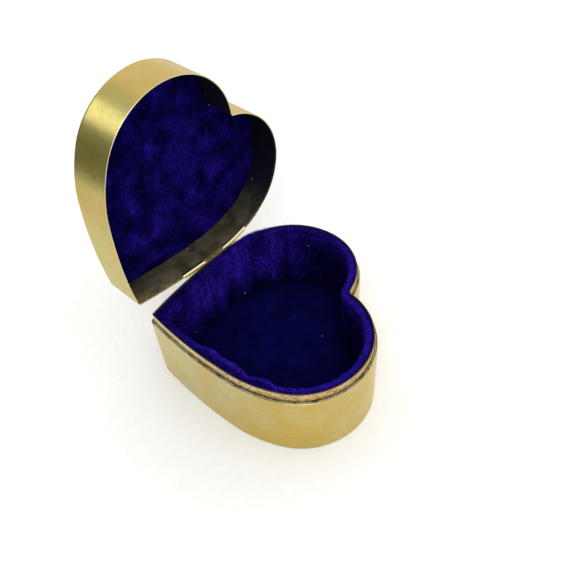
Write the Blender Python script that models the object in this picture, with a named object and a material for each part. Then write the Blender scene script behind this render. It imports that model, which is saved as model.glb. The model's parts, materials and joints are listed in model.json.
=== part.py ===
"""Heart-shaped trinket box in sheet brass with a velvet lining, lid standing open on its side hinge.

Metres, +Z up. The origin is the centre of the heart on the underside of the floor plate.
The heart's point is towards -Y, its cleft towards +Y, and the hinge is on the -X flank.
The lid is modelled shut, relative to an empty on the hinge axis, and the empty is then turned open.
"""

from math import atan2, cos, pi, radians, sin, sqrt

import bmesh
import bpy
from mathutils import Matrix, Vector

MM = 0.001

# Outside outline: each half is a lobe, a shoulder and a flank arc, tangent to each other.
LOBE_RADIUS = 33.73 * MM
LOBE_X = 20.18 * MM
LOBE_Y = 16.27 * MM
SHOULDER_RADIUS = 64.3 * MM
SHOULDER_TOP_ANGLE = radians(-20.94)  # direction of the outward normal where shoulder meets lobe
FLANK_RADIUS = 241.2 * MM
FLANK_TOP_ANGLE = radians(-43.2)  # the same where flank meets shoulder
TIP_RADIUS = 2.6 * MM
CLEFT_RADIUS = 0.7 * MM
SHARPEST_TIP = 0.2 * MM

# Sheet metal
SHEET = 0.5 * MM
PLATE = 0.7 * MM
JOIN_GAP = 0.3 * MM
BASE_HEIGHT = 34.4 * MM
COLLAR_RISE = 4.6 * MM
COLLAR_INSET = 1.4 * MM
LID_DEPTH = 19.2 * MM
SEAM_GAP = 0.15 * MM

# Linings, as card, wadding and a velvet cover
CARD = 0.8 * MM
WALL_WADDING = 1.1 * MM
VELVET = 1.0 * MM
LAYER_GAP = 0.3 * MM
FLOOR_WADDING = 2.0 * MM
LID_WADDING = 1.0 * MM
LINING_BELOW_COLLAR = 0.5 * MM
ROLL_RADIUS = 1.0 * MM
ROLL_STEPS = 3  # per quarter turn

# Hinge
OPEN_ANGLE = radians(86.2)
HINGE_HEADING = radians(133.7)  # direction of the hinge axis, from +X
AXIS_STANDOFF = 1.3 * MM  # from the wall's outer face, where the two are closest
AXIS_HEIGHT = 0.5 * MM  # above the base wall's rim
BARREL_RADIUS = 1.1 * MM
BORE_RADIUS = 0.58 * MM
PIN_RADIUS = 0.5 * MM
PIN_CHAMFER = 0.2 * MM
BASE_KNUCKLE_SPAN = (-7.0 * MM, 5.2 * MM)  # along the axis from its closest point to the wall
BARREL_SPAN = (-17.5 * MM, 14.0 * MM)
LEAF_SPAN = (-21.5 * MM, 21.5 * MM)
KNUCKLE_GAP = 0.3 * MM
LEAF = 0.4 * MM
LID_LEAF_INSET = 0.7 * MM
BASE_LEAF_INSET = 0.75 * MM
LEAF_HEIGHT = 2.1 * MM
LEAF_END_HEIGHT = 1.1 * MM  # at the lobe end, where the lid leaf tapers
LEAF_BRIDGE = 0.5 * MM  # height of the lid leaf left above its middle notch
# Flat tongues between knuckle and leaf, and the lid leaf's flange, by their heights from the base rim
LID_TONGUE = (0.4 * MM, 0.8 * MM)
BASE_TONGUE = (-0.55 * MM, -0.22 * MM)
LID_FLANGE = (0.42 * MM, 0.78 * MM)
TONGUE_SETBACK = 0.2 * MM  # of their ends from the knuckle's ends
FLANGE_SETBACK = 0.4 * MM
FLANGE_REACH = 0.9 * MM  # how far the lid leaf's flange stands out beyond the wall
LID_TONGUE_EDGE = 0.72 * MM  # the tongues' outer edges, inside the barrel's wall
BASE_TONGUE_EDGE = 0.23 * MM
NOTCH_DEPTH = 1.15 * MM
NOTCH_REACH = 4 * MM
NOTCH_MARGIN = 0.3 * MM

SEGMENTS = {"tip": 2, "flank": 6, "shoulder": 6, "lobe": 22, "cleft": 3}
BARREL_SIDES = 20
LEAF_STEPS = 12

BRASS = ("brass", (0.72, 0.60, 0.30, 1), 0.32, 1.0)
AGED_BRASS = ("aged_brass", (0.58, 0.45, 0.20, 1), 0.42, 1.0)
BLUE_VELVET = ("velvet", (0.03, 0.004, 0.20, 1), 0.95, 0.0)
GREY_CARD = ("card", (0.45, 0.40, 0.32, 1), 0.9, 0.0)
WHITE_WADDING = ("wadding", (0.82, 0.80, 0.74, 1), 1.0, 0.0)


def clear_scene():
    for obj in list(bpy.data.objects):
        bpy.data.objects.remove(obj)


def material(finish):
    name, colour, roughness, metallic = finish
    found = bpy.data.materials.get(name)
    if found:
        return found
    made = bpy.data.materials.new(name)
    made.use_nodes = True
    shader = made.node_tree.nodes["Principled BSDF"]
    shader.inputs["Base Color"].default_value = colour
    shader.inputs["Roughness"].default_value = roughness
    shader.inputs["Metallic"].default_value = metallic
    return made


def add_object(name, mesh_builder, finish, parent=None):
    """A node from a bmesh, with outward normals. Its mesh is in the parent's frame."""
    bmesh.ops.recalc_face_normals(mesh_builder, faces=mesh_builder.faces)
    mesh = bpy.data.meshes.new(name)
    mesh_builder.to_mesh(mesh)
    mesh_builder.free()
    mesh.materials.append(material(finish))
    obj = bpy.data.objects.new(name, mesh)
    bpy.context.scene.collection.objects.link(obj)
    if parent:
        mesh.transform(Matrix.Translation(-parent.location))
        obj.parent = parent
    return obj


def as_helper(obj):
    """Keeps a cutter or a joined-in shape out of the renders and out of the nodes."""
    obj.hide_render = True
    obj.display_type = "WIRE"
    return obj


def boolean(obj, helper, operation):
    modifier = obj.modifiers.new(operation.title(), "BOOLEAN")
    modifier.operation = operation
    modifier.solver = "EXACT"
    modifier.object = as_helper(helper)


# The heart outline


def unit(angle):
    return Vector((cos(angle), sin(angle)))


def arc_centres():
    """Centres of the right half's lobe, shoulder and flank arcs."""
    lobe = Vector((LOBE_X, LOBE_Y))
    shoulder = lobe - (SHOULDER_RADIUS - LOBE_RADIUS) * unit(SHOULDER_TOP_ANGLE)
    flank = shoulder - (FLANK_RADIUS - SHOULDER_RADIUS) * unit(FLANK_TOP_ANGLE)
    return lobe, shoulder, flank


def arc_points(centre, radius, start, end, count):
    """Points along an arc, without its last one."""
    return [centre + radius * unit(start + (end - start) * i / count) for i in range(count)]


def half_outline(inset):
    """Right half from the point to the cleft, at this distance inside the outside outline."""
    lobe, shoulder, flank = arc_centres()
    tip_radius = max(TIP_RADIUS - inset, SHARPEST_TIP)
    tip_reach = FLANK_RADIUS - inset - tip_radius
    tip = Vector((0, flank.y - sqrt(tip_reach**2 - flank.x**2)))
    cleft_radius = CLEFT_RADIUS + inset
    cleft = Vector((0, lobe.y + sqrt((LOBE_RADIUS + CLEFT_RADIUS) ** 2 - lobe.x**2)))
    tip_end = atan2(tip.y - flank.y, tip.x - flank.x)
    lobe_end = atan2(cleft.y - lobe.y, cleft.x - lobe.x)
    points = arc_points(tip, tip_radius, -pi / 2, tip_end, SEGMENTS["tip"])
    points += arc_points(flank, FLANK_RADIUS - inset, tip_end, FLANK_TOP_ANGLE, SEGMENTS["flank"])
    points += arc_points(
        shoulder, SHOULDER_RADIUS - inset, FLANK_TOP_ANGLE, SHOULDER_TOP_ANGLE, SEGMENTS["shoulder"]
    )
    points += arc_points(lobe, LOBE_RADIUS - inset, SHOULDER_TOP_ANGLE, lobe_end, SEGMENTS["lobe"])
    points += arc_points(cleft, cleft_radius, lobe_end - pi, -pi / 2, SEGMENTS["cleft"])
    points.append(cleft + cleft_radius * unit(-pi / 2))
    return points


def heart_outline(inset):
    right = half_outline(inset)
    left = [Vector((-p.x, p.y)) for p in reversed(right[1:-1])]
    return right + left


def swept_heart(profile, closed):
    """Rings of the outline joined in order. A profile point is (inset, height).
    A closed profile makes a wall that goes round the heart, and an open one is capped at both ends."""
    shape = bmesh.new()
    rings = []
    for inset, height in profile:
        rings.append([shape.verts.new((p.x, p.y, height)) for p in heart_outline(inset)])
    pairs = list(zip(rings, rings[1:]))
    if closed:
        pairs.append((rings[-1], rings[0]))
    else:
        shape.faces.new(rings[0])
        shape.faces.new(rings[-1])
    for low, high in pairs:
        for i in range(len(low)):
            j = (i + 1) % len(low)
            shape.faces.new((low[i], low[j], high[j], high[i]))
    return shape


def wall(outer_inset, thickness, bottom, top):
    inner_inset = outer_inset + thickness
    return swept_heart(
        [(outer_inset, bottom), (outer_inset, top), (inner_inset, top), (inner_inset, bottom)],
        closed=True,
    )


def plate(inset, bottom, top):
    return swept_heart([(inset, bottom), (inset, top)], closed=False)


def velvet_cover(inset, back, front):
    """A shallow tray of velvet, open at its back, whose edges are rolled at the front."""
    towards_front = 1 if front > back else -1
    roll = []
    for step in range(ROLL_STEPS + 1):
        angle = pi / 2 * step / ROLL_STEPS
        depth = ROLL_RADIUS * (1 - sin(angle))
        roll.append((inset + ROLL_RADIUS * (1 - cos(angle)), front - towards_front * depth))
    inside = [
        (inset + VELVET, front - towards_front * VELVET),
        (inset + VELVET, back),
        (inset, back),
    ]
    return swept_heart(inside + roll, closed=False)


# The hinge's own frame: s along the axis, u inwards from it, heights from the base wall's rim


def hinge_directions():
    along = unit(HINGE_HEADING)
    inwards = Vector((along.y, -along.x))
    return along, inwards


def hinge_centre():
    """The point on the axis that is closest to the wall, which lies on the -X flank arc."""
    flank = arc_centres()[2]
    centre = Vector((-flank.x, flank.y))
    return centre - (FLANK_RADIUS + AXIS_STANDOFF) * hinge_directions()[1]


def distance_to_wall(s, inset):
    """How far inwards of the axis the inset outline lies, at station s."""
    along, inwards = hinge_directions()
    shoulder, flank = arc_centres()[1:]
    origin = hinge_centre()
    junction = Vector((-flank.x, flank.y)) + FLANK_RADIUS * unit(pi - FLANK_TOP_ANGLE)
    past_junction = s > (junction - origin).dot(along)
    centre, radius = (shoulder, SHOULDER_RADIUS) if past_junction else (flank, FLANK_RADIUS)
    offset = Vector((-centre.x, centre.y)) - origin
    return offset.dot(inwards) - sqrt((radius - inset) ** 2 - (s - offset.dot(along)) ** 2)


def hinge_point(s, u, height):
    along, inwards = hinge_directions()
    p = hinge_centre() + s * along + u * inwards
    return Vector((p.x, p.y, BASE_HEIGHT + height))


def stations(span):
    start, end = span
    return [start + (end - start) * i / LEAF_STEPS for i in range(LEAF_STEPS + 1)]


def prism(outer_edge, inner_edge, low, high):
    """A solid between two edges of (s, u) points. Its top is at one height, or a function of s."""
    shape = bmesh.new()
    outline = list(outer_edge) + list(reversed(inner_edge))
    top = high if callable(high) else lambda s: high
    floor = [shape.verts.new(hinge_point(s, u, low)) for s, u in outline]
    roof = [shape.verts.new(hinge_point(s, u, top(s))) for s, u in outline]
    shape.faces.new(floor)
    shape.faces.new(roof)
    for i in range(len(outline)):
        j = (i + 1) % len(outline)
        shape.faces.new((floor[i], floor[j], roof[j], roof[i]))
    return shape


def lid_leaf_top(s):
    start, end = BASE_KNUCKLE_SPAN[1], LEAF_SPAN[1]
    share = max(0, (s - start) / (end - start))
    return LEAF_HEIGHT + (LEAF_END_HEIGHT - LEAF_HEIGHT) * share


def leaf_strip(span, inset, low, high):
    """A strip curved to lie against the wall."""
    outer = [(s, distance_to_wall(s, inset)) for s in stations(span)]
    inner = [(s, distance_to_wall(s, inset + LEAF)) for s in stations(span)]
    return prism(outer, inner, low, high)


def tongue(span, edge, inset, heights):
    """The flat piece that joins a knuckle to its leaf through the notch in the wall."""
    outer = [(s, edge) for s in stations(span)]
    inner = [(s, distance_to_wall(s, inset + LEAF / 2)) for s in stations(span)]
    return prism(outer, inner, *heights)


def flange(span, inset, heights):
    """The lid leaf's edge, turned out over the rim."""
    outer = [(s, distance_to_wall(s, -FLANGE_REACH)) for s in stations(span)]
    inner = [(s, distance_to_wall(s, inset + LEAF / 2)) for s in stations(span)]
    return prism(outer, inner, *heights)


def block(span, low, high):
    """A cutter for a notch, across the wall."""
    near, far = LID_TONGUE_EDGE, AXIS_STANDOFF + NOTCH_REACH
    return prism([(s, near) for s in span], [(s, far) for s in span], low, high)


def turned(profile):
    """Rings about the hinge axis, one for each profile point, which is (station, radius)."""
    shape = bmesh.new()
    rings = []
    for s, radius in profile:
        ring = []
        for i in range(BARREL_SIDES):
            angle = 2 * pi * i / BARREL_SIDES
            u = radius * cos(angle)
            height = AXIS_HEIGHT + radius * sin(angle)
            ring.append(shape.verts.new(hinge_point(s, u, height)))
        rings.append(ring)
    return shape, rings


def bridge(shape, low, high):
    for i in range(BARREL_SIDES):
        j = (i + 1) % BARREL_SIDES
        shape.faces.new((low[i], low[j], high[j], high[i]))


def knuckle(span):
    start, end = span
    shape, rings = turned(
        [(start, BARREL_RADIUS), (end, BARREL_RADIUS), (end, BORE_RADIUS), (start, BORE_RADIUS)]
    )
    for k in range(len(rings)):
        bridge(shape, rings[k - 1], rings[k])
    return shape


def pin(span):
    start, end = span
    shape, rings = turned(
        [
            (start, PIN_RADIUS - PIN_CHAMFER),
            (start + PIN_CHAMFER, PIN_RADIUS),
            (end - PIN_CHAMFER, PIN_RADIUS),
            (end, PIN_RADIUS - PIN_CHAMFER),
        ]
    )
    for low, high in zip(rings, rings[1:]):
        bridge(shape, low, high)
    shape.faces.new(rings[0])
    shape.faces.new(rings[-1])
    return shape


# Sub-assemblies


def beside_base_knuckle(whole_span):
    """The two spans that the base's knuckle leaves at either side of it."""
    return (
        (whole_span[0], BASE_KNUCKLE_SPAN[0] - KNUCKLE_GAP),
        (BASE_KNUCKLE_SPAN[1] + KNUCKLE_GAP, whole_span[1]),
    )


def widened(span, margin):
    return span[0] - margin, span[1] + margin


def build_base():
    add_object("base_floor_plate", plate(0, 0, PLATE), BRASS)
    outer = add_object("base_wall", wall(0, SHEET, PLATE + JOIN_GAP, BASE_HEIGHT), BRASS)
    notch = block(widened(BASE_KNUCKLE_SPAN, NOTCH_MARGIN), -NOTCH_DEPTH, NOTCH_DEPTH)
    boolean(outer, add_object("base_wall_notch", notch, BRASS), "DIFFERENCE")
    collar_top = BASE_HEIGHT + COLLAR_RISE
    add_object("inner_collar", wall(COLLAR_INSET, SHEET, PLATE + JOIN_GAP, collar_top), AGED_BRASS)


def build_base_hinge():
    strip = leaf_strip(BARREL_SPAN, BASE_LEAF_INSET, -LEAF_HEIGHT, -SEAM_GAP)
    leaf = add_object("base_hinge_leaf", strip, BRASS)
    tongue_span = widened(BASE_KNUCKLE_SPAN, -TONGUE_SETBACK)
    base_tongue = tongue(tongue_span, BASE_TONGUE_EDGE, BASE_LEAF_INSET, BASE_TONGUE)
    boolean(leaf, add_object("base_tongue", base_tongue, BRASS), "UNION")
    boolean(leaf, add_object("base_knuckle", knuckle(BASE_KNUCKLE_SPAN), BRASS), "UNION")
    add_object("hinge_pin", pin(widened(BARREL_SPAN, KNUCKLE_GAP)), BRASS)


def build_wall_lining():
    bottom = PLATE + JOIN_GAP
    card_inset = COLLAR_INSET + SHEET + LAYER_GAP
    wadding_inset = card_inset + CARD + LAYER_GAP
    velvet_inset = wadding_inset + WALL_WADDING + LAYER_GAP
    top = BASE_HEIGHT + COLLAR_RISE - LINING_BELOW_COLLAR
    inner_top = top - VELVET - LAYER_GAP
    add_object("wall_lining_card", wall(card_inset, CARD, bottom, inner_top), GREY_CARD)
    wadding = wall(wadding_inset, WALL_WADDING, bottom, inner_top)
    add_object("wall_lining_wadding", wadding, WHITE_WADDING)
    face_inset = velvet_inset + VELVET
    middle = (card_inset + face_inset) / 2
    reach = (face_inset - card_inset) / 2
    roll = []
    for step in range(2 * ROLL_STEPS + 1):
        angle = pi / 2 * step / ROLL_STEPS
        roll.append((middle - reach * cos(angle), top - VELVET + VELVET * sin(angle)))
    profile = roll + [(face_inset, bottom), (velvet_inset, bottom), (velvet_inset, top - VELVET)]
    add_object("wall_lining_velvet", swept_heart(profile, closed=True), BLUE_VELVET)
    return face_inset


def build_floor_lining(wall_face_inset):
    inset = wall_face_inset + LAYER_GAP
    bottom = PLATE + JOIN_GAP
    inner_inset = inset + VELVET + LAYER_GAP
    card_top = bottom + CARD
    wadding_bottom = card_top + LAYER_GAP
    wadding_top = wadding_bottom + FLOOR_WADDING
    top = wadding_top + LAYER_GAP + VELVET
    add_object("floor_lining_card", plate(inner_inset, bottom, card_top), GREY_CARD)
    add_object("floor_lining_wadding", plate(inner_inset, wadding_bottom, wadding_top), WHITE_WADDING)
    add_object("floor_lining_velvet", velvet_cover(inset, bottom, top), BLUE_VELVET)


def add_lid_pivot():
    pivot = bpy.data.objects.new("lid_pivot", None)
    bpy.context.scene.collection.objects.link(pivot)
    pivot.location = hinge_point(0, 0, AXIS_HEIGHT)
    along = hinge_directions()[0]
    pivot.rotation_mode = "AXIS_ANGLE"
    pivot.rotation_axis_angle = (-OPEN_ANGLE, along.x, along.y, 0)
    return pivot


def build_lid(pivot):
    rim = BASE_HEIGHT + SEAM_GAP
    top = BASE_HEIGHT + LID_DEPTH
    plate_bottom = top - PLATE
    add_object("lid_top_plate", plate(0, plate_bottom, top), BRASS, pivot)
    lid_wall = wall(0, SHEET, rim, plate_bottom - JOIN_GAP)
    shell = add_object("lid_wall", lid_wall, BRASS, pivot)
    for number, span in enumerate(beside_base_knuckle(LEAF_SPAN)):
        notch = block(widened(span, NOTCH_MARGIN), -NOTCH_DEPTH, NOTCH_DEPTH)
        boolean(shell, add_object(f"lid_wall_notch_{number}", notch, BRASS, pivot), "DIFFERENCE")


def build_lid_hinge(pivot):
    strip = leaf_strip(LEAF_SPAN, LID_LEAF_INSET, SEAM_GAP, lid_leaf_top)
    leaf = add_object("lid_hinge_leaf", strip, BRASS, pivot)
    opening = block(widened(BASE_KNUCKLE_SPAN, NOTCH_MARGIN), -MM, LEAF_HEIGHT - LEAF_BRIDGE)
    boolean(leaf, add_object("lid_leaf_notch", opening, BRASS, pivot), "DIFFERENCE")
    for number, span in enumerate(beside_base_knuckle(LEAF_SPAN)):
        lid_flange = flange(widened(span, -FLANGE_SETBACK), LID_LEAF_INSET, LID_FLANGE)
        boolean(leaf, add_object(f"lid_flange_{number}", lid_flange, BRASS, pivot), "UNION")
    for number, span in enumerate(beside_base_knuckle(BARREL_SPAN)):
        tongue_span = widened(span, -TONGUE_SETBACK)
        lid_tongue = tongue(tongue_span, LID_TONGUE_EDGE, LID_LEAF_INSET, LID_TONGUE)
        boolean(leaf, add_object(f"lid_tongue_{number}", lid_tongue, BRASS, pivot), "UNION")
        boolean(leaf, add_object(f"lid_knuckle_{number}", knuckle(span), BRASS, pivot), "UNION")


def build_lid_lining(pivot):
    inset = SHEET + LAYER_GAP
    inner_inset = inset + VELVET + LAYER_GAP
    back = BASE_HEIGHT + LID_DEPTH - PLATE - LAYER_GAP
    card_front = back - CARD
    wadding_back = card_front - LAYER_GAP
    wadding_front = wadding_back - LID_WADDING
    front = wadding_front - LAYER_GAP - VELVET
    add_object("lid_lining_card", plate(inner_inset, card_front, back), GREY_CARD, pivot)
    wadding = plate(inner_inset, wadding_front, wadding_back)
    add_object("lid_lining_wadding", wadding, WHITE_WADDING, pivot)
    add_object("lid_lining_velvet", velvet_cover(inset, back, front), BLUE_VELVET, pivot)


def main():
    clear_scene()
    build_base()
    build_base_hinge()
    wall_face_inset = build_wall_lining()
    build_floor_lining(wall_face_inset)
    pivot = add_lid_pivot()
    build_lid(pivot)
    build_lid_hinge(pivot)
    build_lid_lining(pivot)


main()
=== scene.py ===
"""Looks of the heart-shaped trinket box: hand-made sheet brass, velvet lining, lid standing open.

Metres, +Z up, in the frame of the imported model. The pieces follow the same heart outline as the CAD,
with finer arcs. The lid's pieces are modelled shut and then turned open about the hinge.
"""

import json
from math import atan2, cos, exp, pi, radians, sin, sqrt

import bpy
import numpy as np
from mathutils import Matrix, Quaternion, Vector, noise


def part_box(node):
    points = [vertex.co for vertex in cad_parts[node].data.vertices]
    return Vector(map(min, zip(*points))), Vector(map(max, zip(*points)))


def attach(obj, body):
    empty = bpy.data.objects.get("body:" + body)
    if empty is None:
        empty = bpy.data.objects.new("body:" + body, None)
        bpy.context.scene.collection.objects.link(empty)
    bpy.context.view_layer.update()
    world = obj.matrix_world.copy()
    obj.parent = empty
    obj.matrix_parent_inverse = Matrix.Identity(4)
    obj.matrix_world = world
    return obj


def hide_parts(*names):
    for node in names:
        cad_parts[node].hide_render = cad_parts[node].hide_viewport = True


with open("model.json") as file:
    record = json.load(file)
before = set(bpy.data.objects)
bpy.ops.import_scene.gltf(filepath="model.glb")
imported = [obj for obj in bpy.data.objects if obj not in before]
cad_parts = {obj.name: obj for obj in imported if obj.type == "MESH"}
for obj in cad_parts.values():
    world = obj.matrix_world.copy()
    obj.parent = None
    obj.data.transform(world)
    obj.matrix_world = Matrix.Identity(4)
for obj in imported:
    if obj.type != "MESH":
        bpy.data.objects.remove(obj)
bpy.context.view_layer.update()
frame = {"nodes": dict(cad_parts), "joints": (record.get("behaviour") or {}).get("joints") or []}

MM = 0.001

# The outside outline, as in the CAD: each half is a lobe, a shoulder and a flank arc.
LOBE_RADIUS = 33.73 * MM
LOBE_X = 20.18 * MM
LOBE_Y = 16.27 * MM
SHOULDER_RADIUS = 64.3 * MM
SHOULDER_TOP_ANGLE = radians(-20.94)
FLANK_RADIUS = 241.2 * MM
FLANK_TOP_ANGLE = radians(-43.2)
TIP_RADIUS = 2.6 * MM
CLEFT_RADIUS = 0.7 * MM
SHARPEST_TIP = 0.2 * MM
ARC_STEPS = {"tip": 8, "flank": 66, "shoulder": 34, "lobe": 116, "cleft": 10}
HEART_MIDDLE = np.array((0, 5 * MM))  # every point of the outline can be seen from here

# Sheet metal and linings
SHEET = 0.5 * MM
COLLAR_INSET = 1.4 * MM
CARD_INSET = 2.2 * MM
LINING_BACK_INSET = 4.7 * MM
LINING_FACE_INSET = 5.7 * MM
FLOOR_INSET = 6.0 * MM
LID_LINING_INSET = 0.8 * MM
VELVET = 1.0 * MM
EDGE_ROUND = 0.16 * MM
SEAM = 0.04 * MM  # between a wall and the plate that it meets

# The lid's heart leans: its +X lobe and its cleft are drawn out a little towards this direction.
LEAN = np.array((0.9, 1.2)) * MM
LEAN_CENTRE = np.array((20, 45)) * MM
LEAN_REACH = 34 * MM

JOINT = frame["joints"][0]
HINGE_POINT = Vector(JOINT["pos_m"])
HINGE_AXIS = Vector(JOINT["axis"])
OPENING = (
    Matrix.Translation(HINGE_POINT)
    @ Matrix.Rotation(-radians(JOINT["range_deg"][1]), 4, HINGE_AXIS)
    @ Matrix.Translation(-HINGE_POINT)
)


# Levels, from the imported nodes


def shut_levels(node):
    """Lowest and highest level of a lid node with the lid shut."""
    closing = OPENING.inverted()
    heights = [(closing @ v.co).z for v in frame["nodes"][node].data.vertices]
    return min(heights), max(heights)


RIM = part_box("base_wall")[1].z
PLATE_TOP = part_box("base_floor_plate")[1].z
COLLAR_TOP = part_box("inner_collar")[1].z
LINING_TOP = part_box("wall_lining_velvet")[1].z
LINING_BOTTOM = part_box("wall_lining_velvet")[0].z
LINING_CREST = LINING_TOP - VELVET
FLOOR_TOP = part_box("floor_lining_velvet")[1].z
LID_RIM = shut_levels("lid_wall")[0]
LID_PLATE_BOTTOM, LID_TOP = shut_levels("lid_top_plate")
LID_VELVET_FRONT, LID_VELVET_BACK = shut_levels("lid_lining_velvet")


# The heart outline


def stations():
    """For each point round the heart: its arc's number, its share along that arc, and its side."""
    arc, share = [], []
    for number, steps in enumerate(ARC_STEPS.values()):
        arc += [number] * steps
        share += [i / steps for i in range(steps)]
    arc.append(len(ARC_STEPS) - 1)
    share.append(1.0)
    side = [1] * len(arc) + [-1] * (len(arc) - 2)
    arc += arc[-2:0:-1]
    share += share[-2:0:-1]
    return np.array(arc), np.array(share), np.array(side)


ARC, SHARE, SIDE = stations()
COUNT = len(ARC)


def unit(angle):
    return np.array((cos(angle), sin(angle)))


LOBE = np.array((LOBE_X, LOBE_Y))
SHOULDER = LOBE - (SHOULDER_RADIUS - LOBE_RADIUS) * unit(SHOULDER_TOP_ANGLE)
FLANK = SHOULDER - (FLANK_RADIUS - SHOULDER_RADIUS) * unit(FLANK_TOP_ANGLE)
CLEFT_Y = LOBE_Y + sqrt((LOBE_RADIUS + CLEFT_RADIUS) ** 2 - LOBE_X**2)


def heart(inset):
    """Points round the heart at this distance inside the outside outline, which may vary round it."""
    inset = np.broadcast_to(np.asarray(inset, float), COUNT)
    tip_radius = np.maximum(TIP_RADIUS - inset, SHARPEST_TIP)
    tip_y = FLANK[1] - np.sqrt((FLANK_RADIUS - inset - tip_radius) ** 2 - FLANK[0] ** 2)
    tip_end = np.arctan2(tip_y - FLANK[1], -FLANK[0])
    lobe_end = atan2(CLEFT_Y - LOBE_Y, -LOBE_X)
    arcs = (
        (0, tip_y, tip_radius, -pi / 2, tip_end),
        (FLANK[0], FLANK[1], FLANK_RADIUS - inset, tip_end, FLANK_TOP_ANGLE),
        (SHOULDER[0], SHOULDER[1], SHOULDER_RADIUS - inset, FLANK_TOP_ANGLE, SHOULDER_TOP_ANGLE),
        (LOBE_X, LOBE_Y, LOBE_RADIUS - inset, SHOULDER_TOP_ANGLE, lobe_end),
        (0, CLEFT_Y, CLEFT_RADIUS + inset, lobe_end - pi, -pi / 2),
    )
    columns = [[np.broadcast_to(value, COUNT) for value in arc] for arc in arcs]
    x, y, radius, start, end = (np.choose(ARC, column) for column in zip(*columns))
    angle = start + (end - start) * SHARE
    return np.stack([SIDE * (x + radius * np.cos(angle)), y + radius * np.sin(angle)], axis=1)


def ring(inset, height):
    return np.column_stack([heart(inset), np.broadcast_to(height, COUNT)])


def distance_round():
    """Length of the outside outline from the point to each station, shorter way round."""
    points = heart(0)
    steps = np.linalg.norm(points - np.roll(points, 1, axis=0), axis=1)
    along = np.cumsum(steps) - steps[0]
    return np.minimum(along, steps.sum() - along)


FROM_TIP = distance_round()


def smooth_step(x, start, end):
    share = np.clip((x - start) / (end - start), 0, 1)
    return share * share * (3 - 2 * share)


def rise(start, end):
    """0 up to the first distance from the point, in millimetres, and 1 from the second on."""
    return smooth_step(FROM_TIP, start * MM, end * MM)


def field(points, size, seed, octaves=1):
    """Smooth noise between about -1 and 1 at these points, with lumps of about this size."""
    shift = Vector((seed * 7.31, seed * 3.17, seed * 5.77))
    return np.array([noise.fractal(Vector(p) / size + shift, 1.0, 2.0, octaves) for p in points])


# Meshes


def swept(name, rings, closed, slots=None):
    """A body through these rings. A closed one joins the last to the first; an open one is capped."""
    bands = len(rings) if closed else len(rings) - 1
    here = np.arange(COUNT)
    following = np.roll(here, -1)
    faces = []
    for k in range(bands):
        low, high = k * COUNT, (k + 1) % len(rings) * COUNT
        quads = np.stack([low + here, low + following, high + following, high + here], axis=1)
        faces += quads.tolist()
    if not closed:
        faces.append(here[::-1].tolist())
        faces.append((here + (len(rings) - 1) * COUNT).tolist())
    mesh = bpy.data.meshes.new(name)
    mesh.from_pydata(np.concatenate(rings).tolist(), [], faces)
    if slots:
        indices = np.zeros(len(faces), np.int32)
        indices[: bands * COUNT] = np.repeat(slots, COUNT)
        mesh.polygons.foreach_set("material_index", indices)
    obj = bpy.data.objects.new(name, mesh)
    bpy.context.scene.collection.objects.link(obj)
    face_outwards(mesh)
    return obj


def lofted(rings, capped=True):
    """Vertices and outward faces of a body through these rings of places."""
    points = np.array(rings, float)
    count, size = points.shape[:2]
    faces = []
    for k in range(count - 1 if capped else count):
        low, high = k * size, (k + 1) % count * size
        faces += [(low + i, low + (i + 1) % size, high + (i + 1) % size, high + i) for i in range(size)]
    if capped:
        faces += [tuple(range(size))[::-1], tuple(range((count - 1) * size, count * size))]
    points = points.reshape(-1, 3)
    volume = 0
    for face in faces:
        for i in range(1, len(face) - 1):
            volume += np.dot(points[face[0]], np.cross(points[face[i]], points[face[i + 1]]))
    if volume < 0:
        faces = [face[::-1] for face in faces]
    return points, faces


def joined(name, bodies):
    points, faces = [], []
    for own_points, own_faces in bodies:
        start = len(points)
        points += own_points.tolist()
        faces += [tuple(start + i for i in face) for face in own_faces]
    mesh = bpy.data.meshes.new(name)
    mesh.from_pydata(points, [], faces)
    obj = bpy.data.objects.new(name, mesh)
    bpy.context.scene.collection.objects.link(obj)
    return obj


def settle(obj):
    """Applies an object's modifiers to its mesh."""
    graph = bpy.context.evaluated_depsgraph_get()
    made = bpy.data.meshes.new_from_object(obj.evaluated_get(graph))
    obj.modifiers.clear()
    obj.data = made


def face_outwards(mesh):
    points = np.zeros(len(mesh.vertices) * 3)
    mesh.vertices.foreach_get("co", points)
    points = points.reshape(-1, 3)
    mesh.calc_loop_triangles()
    corners = np.zeros(len(mesh.loop_triangles) * 3, np.int32)
    mesh.loop_triangles.foreach_get("vertices", corners)
    a, b, c = (points[corners.reshape(-1, 3)[:, i]] for i in range(3))
    if (a * np.cross(b, c)).sum() < 0:
        mesh.flip_normals()


def coordinates(obj):
    points = np.zeros(len(obj.data.vertices) * 3)
    obj.data.vertices.foreach_get("co", points)
    return points.reshape(-1, 3)


def store(obj, name, values):
    attribute = obj.data.attributes.new(name, "FLOAT", "POINT")
    attribute.data.foreach_set("value", np.asarray(values, np.float32))


def leaned(points):
    """The lid's points, moved with the lean of its heart."""
    away = np.linalg.norm(points[:, :2] - LEAN_CENTRE, axis=1) / LEAN_REACH
    moved = points.copy()
    moved[:, :2] += np.exp(-(away**2))[:, None] * LEAN
    return moved


def finished(obj, materials, node, body, lid=False, sharp=40):
    """Gives a piece its materials and shading and its place on a body, and hides the node it stands for."""
    for made in materials:
        obj.data.materials.append(made)
    obj.data.shade_smooth()
    obj.data.set_sharp_from_angle(angle=radians(sharp))
    if lid:
        obj.data.vertices.foreach_set("co", leaned(coordinates(obj)).ravel())
        obj.data.transform(OPENING)
    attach(obj, body)
    if node:
        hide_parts(node)


# Procedural materials


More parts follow.
